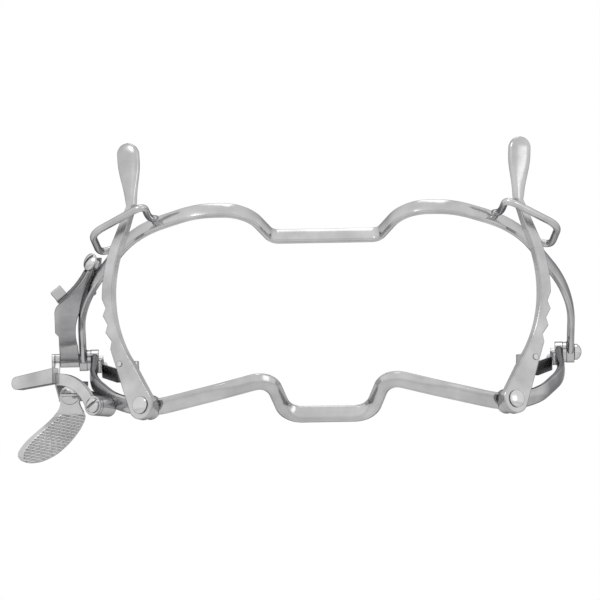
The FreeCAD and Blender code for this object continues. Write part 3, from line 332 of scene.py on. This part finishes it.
def paddle_leaf():
    """Rings across the leaf: the front rises over a bevel by the left edge and carries a wave of ribs.

    The height is thickness - bevel (1 - l / width) - rim (1 - r / rim) - groove(cos(2 pi d / pitch)), with
    l and r the distances to the two edges, d the distance along the line square to the ribs, and a groove
    that is cut off flat at its floor and at the ribs' tops."""
    left, right = through(PADDLE_LEFT, PADDLE_STATIONS), through(PADDLE_RIGHT, PADDLE_STATIONS)
    share = PADDLE_ACROSS[None, :, None]
    face = left[:, None] * (1 - share) + right[:, None] * share
    width = np.linalg.norm(right - left, axis=1)[:, None]
    from_left = width * PADDLE_ACROSS
    from_right = width * (1 - PADDLE_ACROSS)
    below_neck = np.clip((RIB_START - face[..., 1]) / RIB_FADE, 0.0, 1.0)
    square = face[..., 0] * math.sin(RIB_SLOPE) + face[..., 1] * math.cos(RIB_SLOPE)
    groove = np.clip(GROOVE_LIFT + np.cos(2 * math.pi * square / RIB_PITCH), 0.0, GROOVE_FLOOR) / GROOVE_FLOOR
    ribbed = below_neck * np.clip((from_left - BROAD_BEVEL_WIDTH) / RIM, 0.0, 1.0)
    height = PADDLE_THICKNESS - RIB_DEPTH * groove * ribbed
    height -= below_neck * BROAD_BEVEL_DROP * np.clip(1 - from_left / BROAD_BEVEL_WIDTH, 0.0, 1.0)
    height -= RIM * np.clip(1 - from_right / RIM, 0.0, 1.0)
    top = np.concatenate([face, height[..., None]], axis=-1)
    under = np.concatenate([face[:, ::-1], np.zeros_like(height)[..., None]], axis=-1)
    rings = np.concatenate([top, under], axis=1)[:, ::-1] * MM
    grid = HINGE_AXIS + PADDLE_PLACE * MM + np.stack([rings[..., 0], -rings[..., 2], rings[..., 1]], axis=-1)
    leaf = closed_mesh("paddle_leaf", grid, smooth=False)
    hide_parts("thumb_paddle")
    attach(leaf, "paddle")
    return leaf


# Catch post: a square peg on the catch leaf's free end

POST_CORNER = np.array([-67.462, -22.202, 15.556]) * MM
POST_RUN = np.array([-0.76757, 0.0, -0.64096])
POST_OUT = np.array([-0.64096, 0.0, 0.76757])
POST_SIDE = 3.2 * MM
POST_HEIGHT = 2.9 * MM
POST_BEVEL = 0.2 * MM


def catch_post():
    """Square plate as high as it is wide, with broken edges at both ends."""
    square = np.array([(0, 0), (1, 0), (1, 1), (0, 1)]) * POST_SIDE
    axes = (POST_RUN, np.array([0.0, -1.0, 0.0]), POST_OUT, HINGE_AXIS + POST_CORNER)
    post = edged_plate("catch_post", square, 0.0, POST_HEIGHT, POST_BEVEL, axes)
    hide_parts("catch_peg")
    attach(post, "catch")
    return post


made = [(paddle_leaf(), "ribbed_steel"), (catch_post(), "satin_steel")]
for name, side in SIDES.items():
    made.append((bail_wire(name, side), "polished_steel"))
    made.append((thumb_grip(name, side), "satin_steel"))
    made.append((lever_blade(name, side), "satin_steel"))

# Steel finishes: the lightest and darkest tone of the clouding, the middle roughness, how fine the
# grinding lines are, and whether edges are rounded and carry painted shade. The ribbed finish has no rounded
# edges and no painted edge shade, because its ribs are finer.

FINISHES = {
    "polished_steel": {"light": 0.60, "dark": 0.46, "rough": 0.15, "brush": 900.0, "rounded_shaded_edges": True},
    "satin_steel": {"light": 0.60, "dark": 0.44, "rough": 0.22, "brush": 1300.0, "rounded_shaded_edges": True},
    "spring_steel": {"light": 0.46, "dark": 0.30, "rough": 0.22, "brush": 1100.0, "rounded_shaded_edges": True},
    "fastener_steel": {"light": 0.70, "dark": 0.56, "rough": 0.16, "brush": 700.0, "rounded_shaded_edges": True},
    "ribbed_steel": {"light": 0.64, "dark": 0.52, "rough": 0.22, "brush": 1300.0, "rounded_shaded_edges": False},
}
EDGE_TINT = (0.25, 0.25, 0.26, 1)
COOL = 1.01
CLOUD_SCALE = 140.0
CLOUD_START, CLOUD_END = 0.32, 0.68
EDGE_ROUND = 0.16 * MM
# Painted shade along edges: the radius of the rounded copy that finds them, the turn over which it fades in,
# and its darkest factor
EDGE_SHADE_RADIUS = 0.34 * MM
EDGE_TURNED, EDGE_FLAT, EDGE_SHADE_DARKEST = 0.86, 0.99, 0.16
BRUSH_STRETCH = (0.06, 1.0, 1.0)
BRUSH_DEPTH = 0.004 * MM
BRUSH_STRENGTH = 0.25
SMOOTHER, ROUGHER = 0.06, 0.08


def add_node(tree, kind, settings=None, **inputs):
    """Node with its settings, whose inputs are plain values or other nodes' outputs."""
    node = tree.nodes.new(kind)
    for name, value in (settings or {}).items():
        setattr(node, name, value)
    for name, value in inputs.items():
        socket = node.inputs[name.replace("_", " ")]
        if isinstance(value, bpy.types.NodeSocket):
            tree.links.new(value, socket)
        else:
            socket.default_value = value
    return node


def tone_ramp(tree, source, dark, light, start=0.0, end=1.0):
    """Colours between two greys, picked by a source from 0 to 1."""
    ramp = add_node(tree, "ShaderNodeValToRGB", Fac=source)
    for element, position, colour in zip(ramp.color_ramp.elements, (start, end), (dark, light)):
        element.position = position
        element.color = colour
    return ramp.outputs["Color"]


def edges_with_painted_shade(tree, colour):
    """Colour with painted shade: darkened where the surface turns away from its own rounded copy, at edges.
    """
    shape = add_node(tree, "ShaderNodeNewGeometry")
    rounded_copy = add_node(tree, "ShaderNodeBevel", {"samples": 8}, Radius=EDGE_SHADE_RADIUS)
    turn = tree.nodes.new("ShaderNodeVectorMath")
    turn.operation = "DOT_PRODUCT"
    tree.links.new(shape.outputs["Normal"], turn.inputs[0])
    tree.links.new(rounded_copy.outputs["Normal"], turn.inputs[1])
    # Painted shade: the base colour is multiplied darker along every edge
    line = add_node(tree, "ShaderNodeMapRange", Value=turn.outputs["Value"], From_Min=EDGE_TURNED,
                    From_Max=EDGE_FLAT, To_Min=EDGE_SHADE_DARKEST, To_Max=1.0)
    drawn = add_node(tree, "ShaderNodeMix", {"data_type": "RGBA", "blend_type": "MULTIPLY"}, Factor=1.0,
                     A=colour, B=line.outputs["Result"])
    return drawn.outputs["Result"]


def steel(name, look):
    """Steel with faint clouding, fine grinding lines and, where set, softly rounded edges with painted shade
    along them.
    """
    material = bpy.data.materials.new(name)
    material.use_nodes = True
    tree = material.node_tree
    shader = tree.nodes["Principled BSDF"]
    shader.inputs["Metallic"].default_value = 1.0
    shader.inputs["Specular Tint"].default_value = EDGE_TINT
    place = add_node(tree, "ShaderNodeTexCoord").outputs["Object"]
    cloud = add_node(tree, "ShaderNodeTexNoise", Vector=place, Scale=CLOUD_SCALE, Detail=6.0)
    dark, light = ((look[key], look[key], look[key] * COOL, 1) for key in ("dark", "light"))
    colour = tone_ramp(tree, cloud.outputs["Fac"], dark, light, CLOUD_START, CLOUD_END)
    # Painted shade along the edges goes into the base colour
    if look["rounded_shaded_edges"]:
        colour = edges_with_painted_shade(tree, colour)
    tree.links.new(colour, shader.inputs["Base Color"])
    stretch = add_node(tree, "ShaderNodeMapping", Vector=place, Scale=BRUSH_STRETCH)
    lines = add_node(tree, "ShaderNodeTexNoise", Vector=stretch.outputs["Vector"], Scale=look["brush"],
                     Detail=5.0).outputs["Fac"]
    rough = add_node(tree, "ShaderNodeMapRange", Value=lines, To_Min=look["rough"] - SMOOTHER,
                     To_Max=look["rough"] + ROUGHER)
    tree.links.new(rough.outputs["Result"], shader.inputs["Roughness"])
    bump = add_node(tree, "ShaderNodeBump", Strength=BRUSH_STRENGTH, Distance=BRUSH_DEPTH, Height=lines)
    if look["rounded_shaded_edges"]:
        edge = add_node(tree, "ShaderNodeBevel", {"samples": 6}, Radius=EDGE_ROUND)
        tree.links.new(edge.outputs["Normal"], bump.inputs["Normal"])
    tree.links.new(bump.outputs["Normal"], shader.inputs["Normal"])
    return material


steels = {name: steel(name, look) for name, look in FINISHES.items()}
slot_of = {item["node"]: item["material_slot"] for item in frame["record"]["subparts"]}
for name, node in frame["nodes"].items():
    node.data.materials.clear()
    node.data.materials.append(steels[slot_of[name]])
for piece, finish in made:
    piece.data.materials.append(steels[finish])

# Studio: a pale floor below, soft lamps, white behind

FLOOR_LEVEL = -0.16
FLOOR_HALF = 2.6
PAPER_DARK, PAPER_LIGHT = (0.88, 0.88, 0.88, 1), (0.91, 0.91, 0.91, 1)
PAPER_GRAIN = 60.0
PAPER_ROUGH = 0.9
WORLD_LIGHT = 0.8
LAMPS = {
    "key": {"place": (-0.45, -0.75, 0.75), "size": 0.35, "power": 1.8},
    "fill": {"place": (0.75, -0.60, 0.20), "size": 0.35, "power": 0.4},
    "top": {"place": (0.05, 0.15, 0.95), "size": 0.45, "power": 0.8},
}
MIDDLE = (-0.0068, 0.0251, 0.0337)


def pale_floor():
    """Large sheet below the camera's line of sight."""
    mesh = bpy.data.meshes.new("floor")
    corners = [(x * FLOOR_HALF, y * FLOOR_HALF, FLOOR_LEVEL) for x, y in ((-1, -1), (1, -1), (1, 1), (-1, 1))]
    mesh.from_pydata(corners, [], [(0, 1, 2, 3)])
    floor = bpy.data.objects.new("floor", mesh)
    bpy.context.scene.collection.objects.link(floor)
    paper = bpy.data.materials.new("pale_paper")
    paper.use_nodes = True
    tree = paper.node_tree
    shader = tree.nodes["Principled BSDF"]
    shader.inputs["Roughness"].default_value = PAPER_ROUGH
    grain = add_node(tree, "ShaderNodeTexNoise", Scale=PAPER_GRAIN)
    tone = tone_ramp(tree, grain.outputs["Fac"], PAPER_DARK, PAPER_LIGHT)
    tree.links.new(tone, shader.inputs["Base Color"])
    mesh.materials.append(paper)


def soft_lamp(name, place, size, power):
    """Square area lamp turned to the object's middle."""
    data = bpy.data.lights.new(name, "AREA")
    data.shape = "SQUARE"
    data.size = size
    data.energy = power
    lamp = bpy.data.objects.new(name, data)
    bpy.context.scene.collection.objects.link(lamp)
    lamp.location = place
    lamp.rotation_euler = (Vector(MIDDLE) - Vector(place)).to_track_quat("-Z", "Y").to_euler()


def white_surround():
    """World that is white to the camera and to reflections and gives an even light of its own level."""
    world = bpy.data.worlds.new("studio")
    world.use_nodes = True
    bpy.context.scene.world = world
    tree = world.node_tree
    rays = add_node(tree, "ShaderNodeLightPath")
    seen = rays.outputs["Is Camera Ray"]
    for kind in ("Is Glossy Ray", "Is Transmission Ray"):
        either = tree.nodes.new("ShaderNodeMath")
        either.operation = "MAXIMUM"
        tree.links.new(seen, either.inputs[0])
        tree.links.new(rays.outputs[kind], either.inputs[1])
        seen = either.outputs["Value"]
    strength = add_node(tree, "ShaderNodeMapRange", Value=seen, To_Min=WORLD_LIGHT, To_Max=1.0)
    background = tree.nodes["Background"]
    background.inputs["Color"].default_value = (1, 1, 1, 1)
    tree.links.new(strength.outputs["Result"], background.inputs["Strength"])


pale_floor()
white_surround()
for name, lamp in LAMPS.items():
    soft_lamp(name, **lamp)
bpy.context.scene.view_settings.view_transform = "Standard"

# Camera: in front and five degrees below level, with a long lens

DISTANCE = 2.0
VIEW_WIDTH = 0.1560
SENSOR_WIDTH = 36.0
FARTHEST = 10.0
BELOW = math.radians(5.0)
ROLL = math.radians(-1.0)


def photograph_camera():
    """Camera whose frame is as wide at the object as the photograph's."""
    data = bpy.data.cameras.new("camera")
    data.sensor_width = SENSOR_WIDTH
    data.lens = SENSOR_WIDTH * DISTANCE / VIEW_WIDTH
    data.clip_end = FARTHEST
    camera = bpy.data.objects.new("camera", data)
    bpy.context.scene.collection.objects.link(camera)
    looking = Vector((0.0, math.cos(BELOW), math.sin(BELOW)))
    up = Vector((0.0, -math.sin(BELOW), math.cos(BELOW)))
    axes = Matrix((looking.cross(up), up, -looking)).transposed().to_4x4()
    camera.matrix_world = (Matrix.Translation(Vector(MIDDLE) - looking * DISTANCE)
                           @ axes @ Matrix.Rotation(ROLL, 4, "Z"))
    bpy.context.scene.camera = camera


photograph_camera()
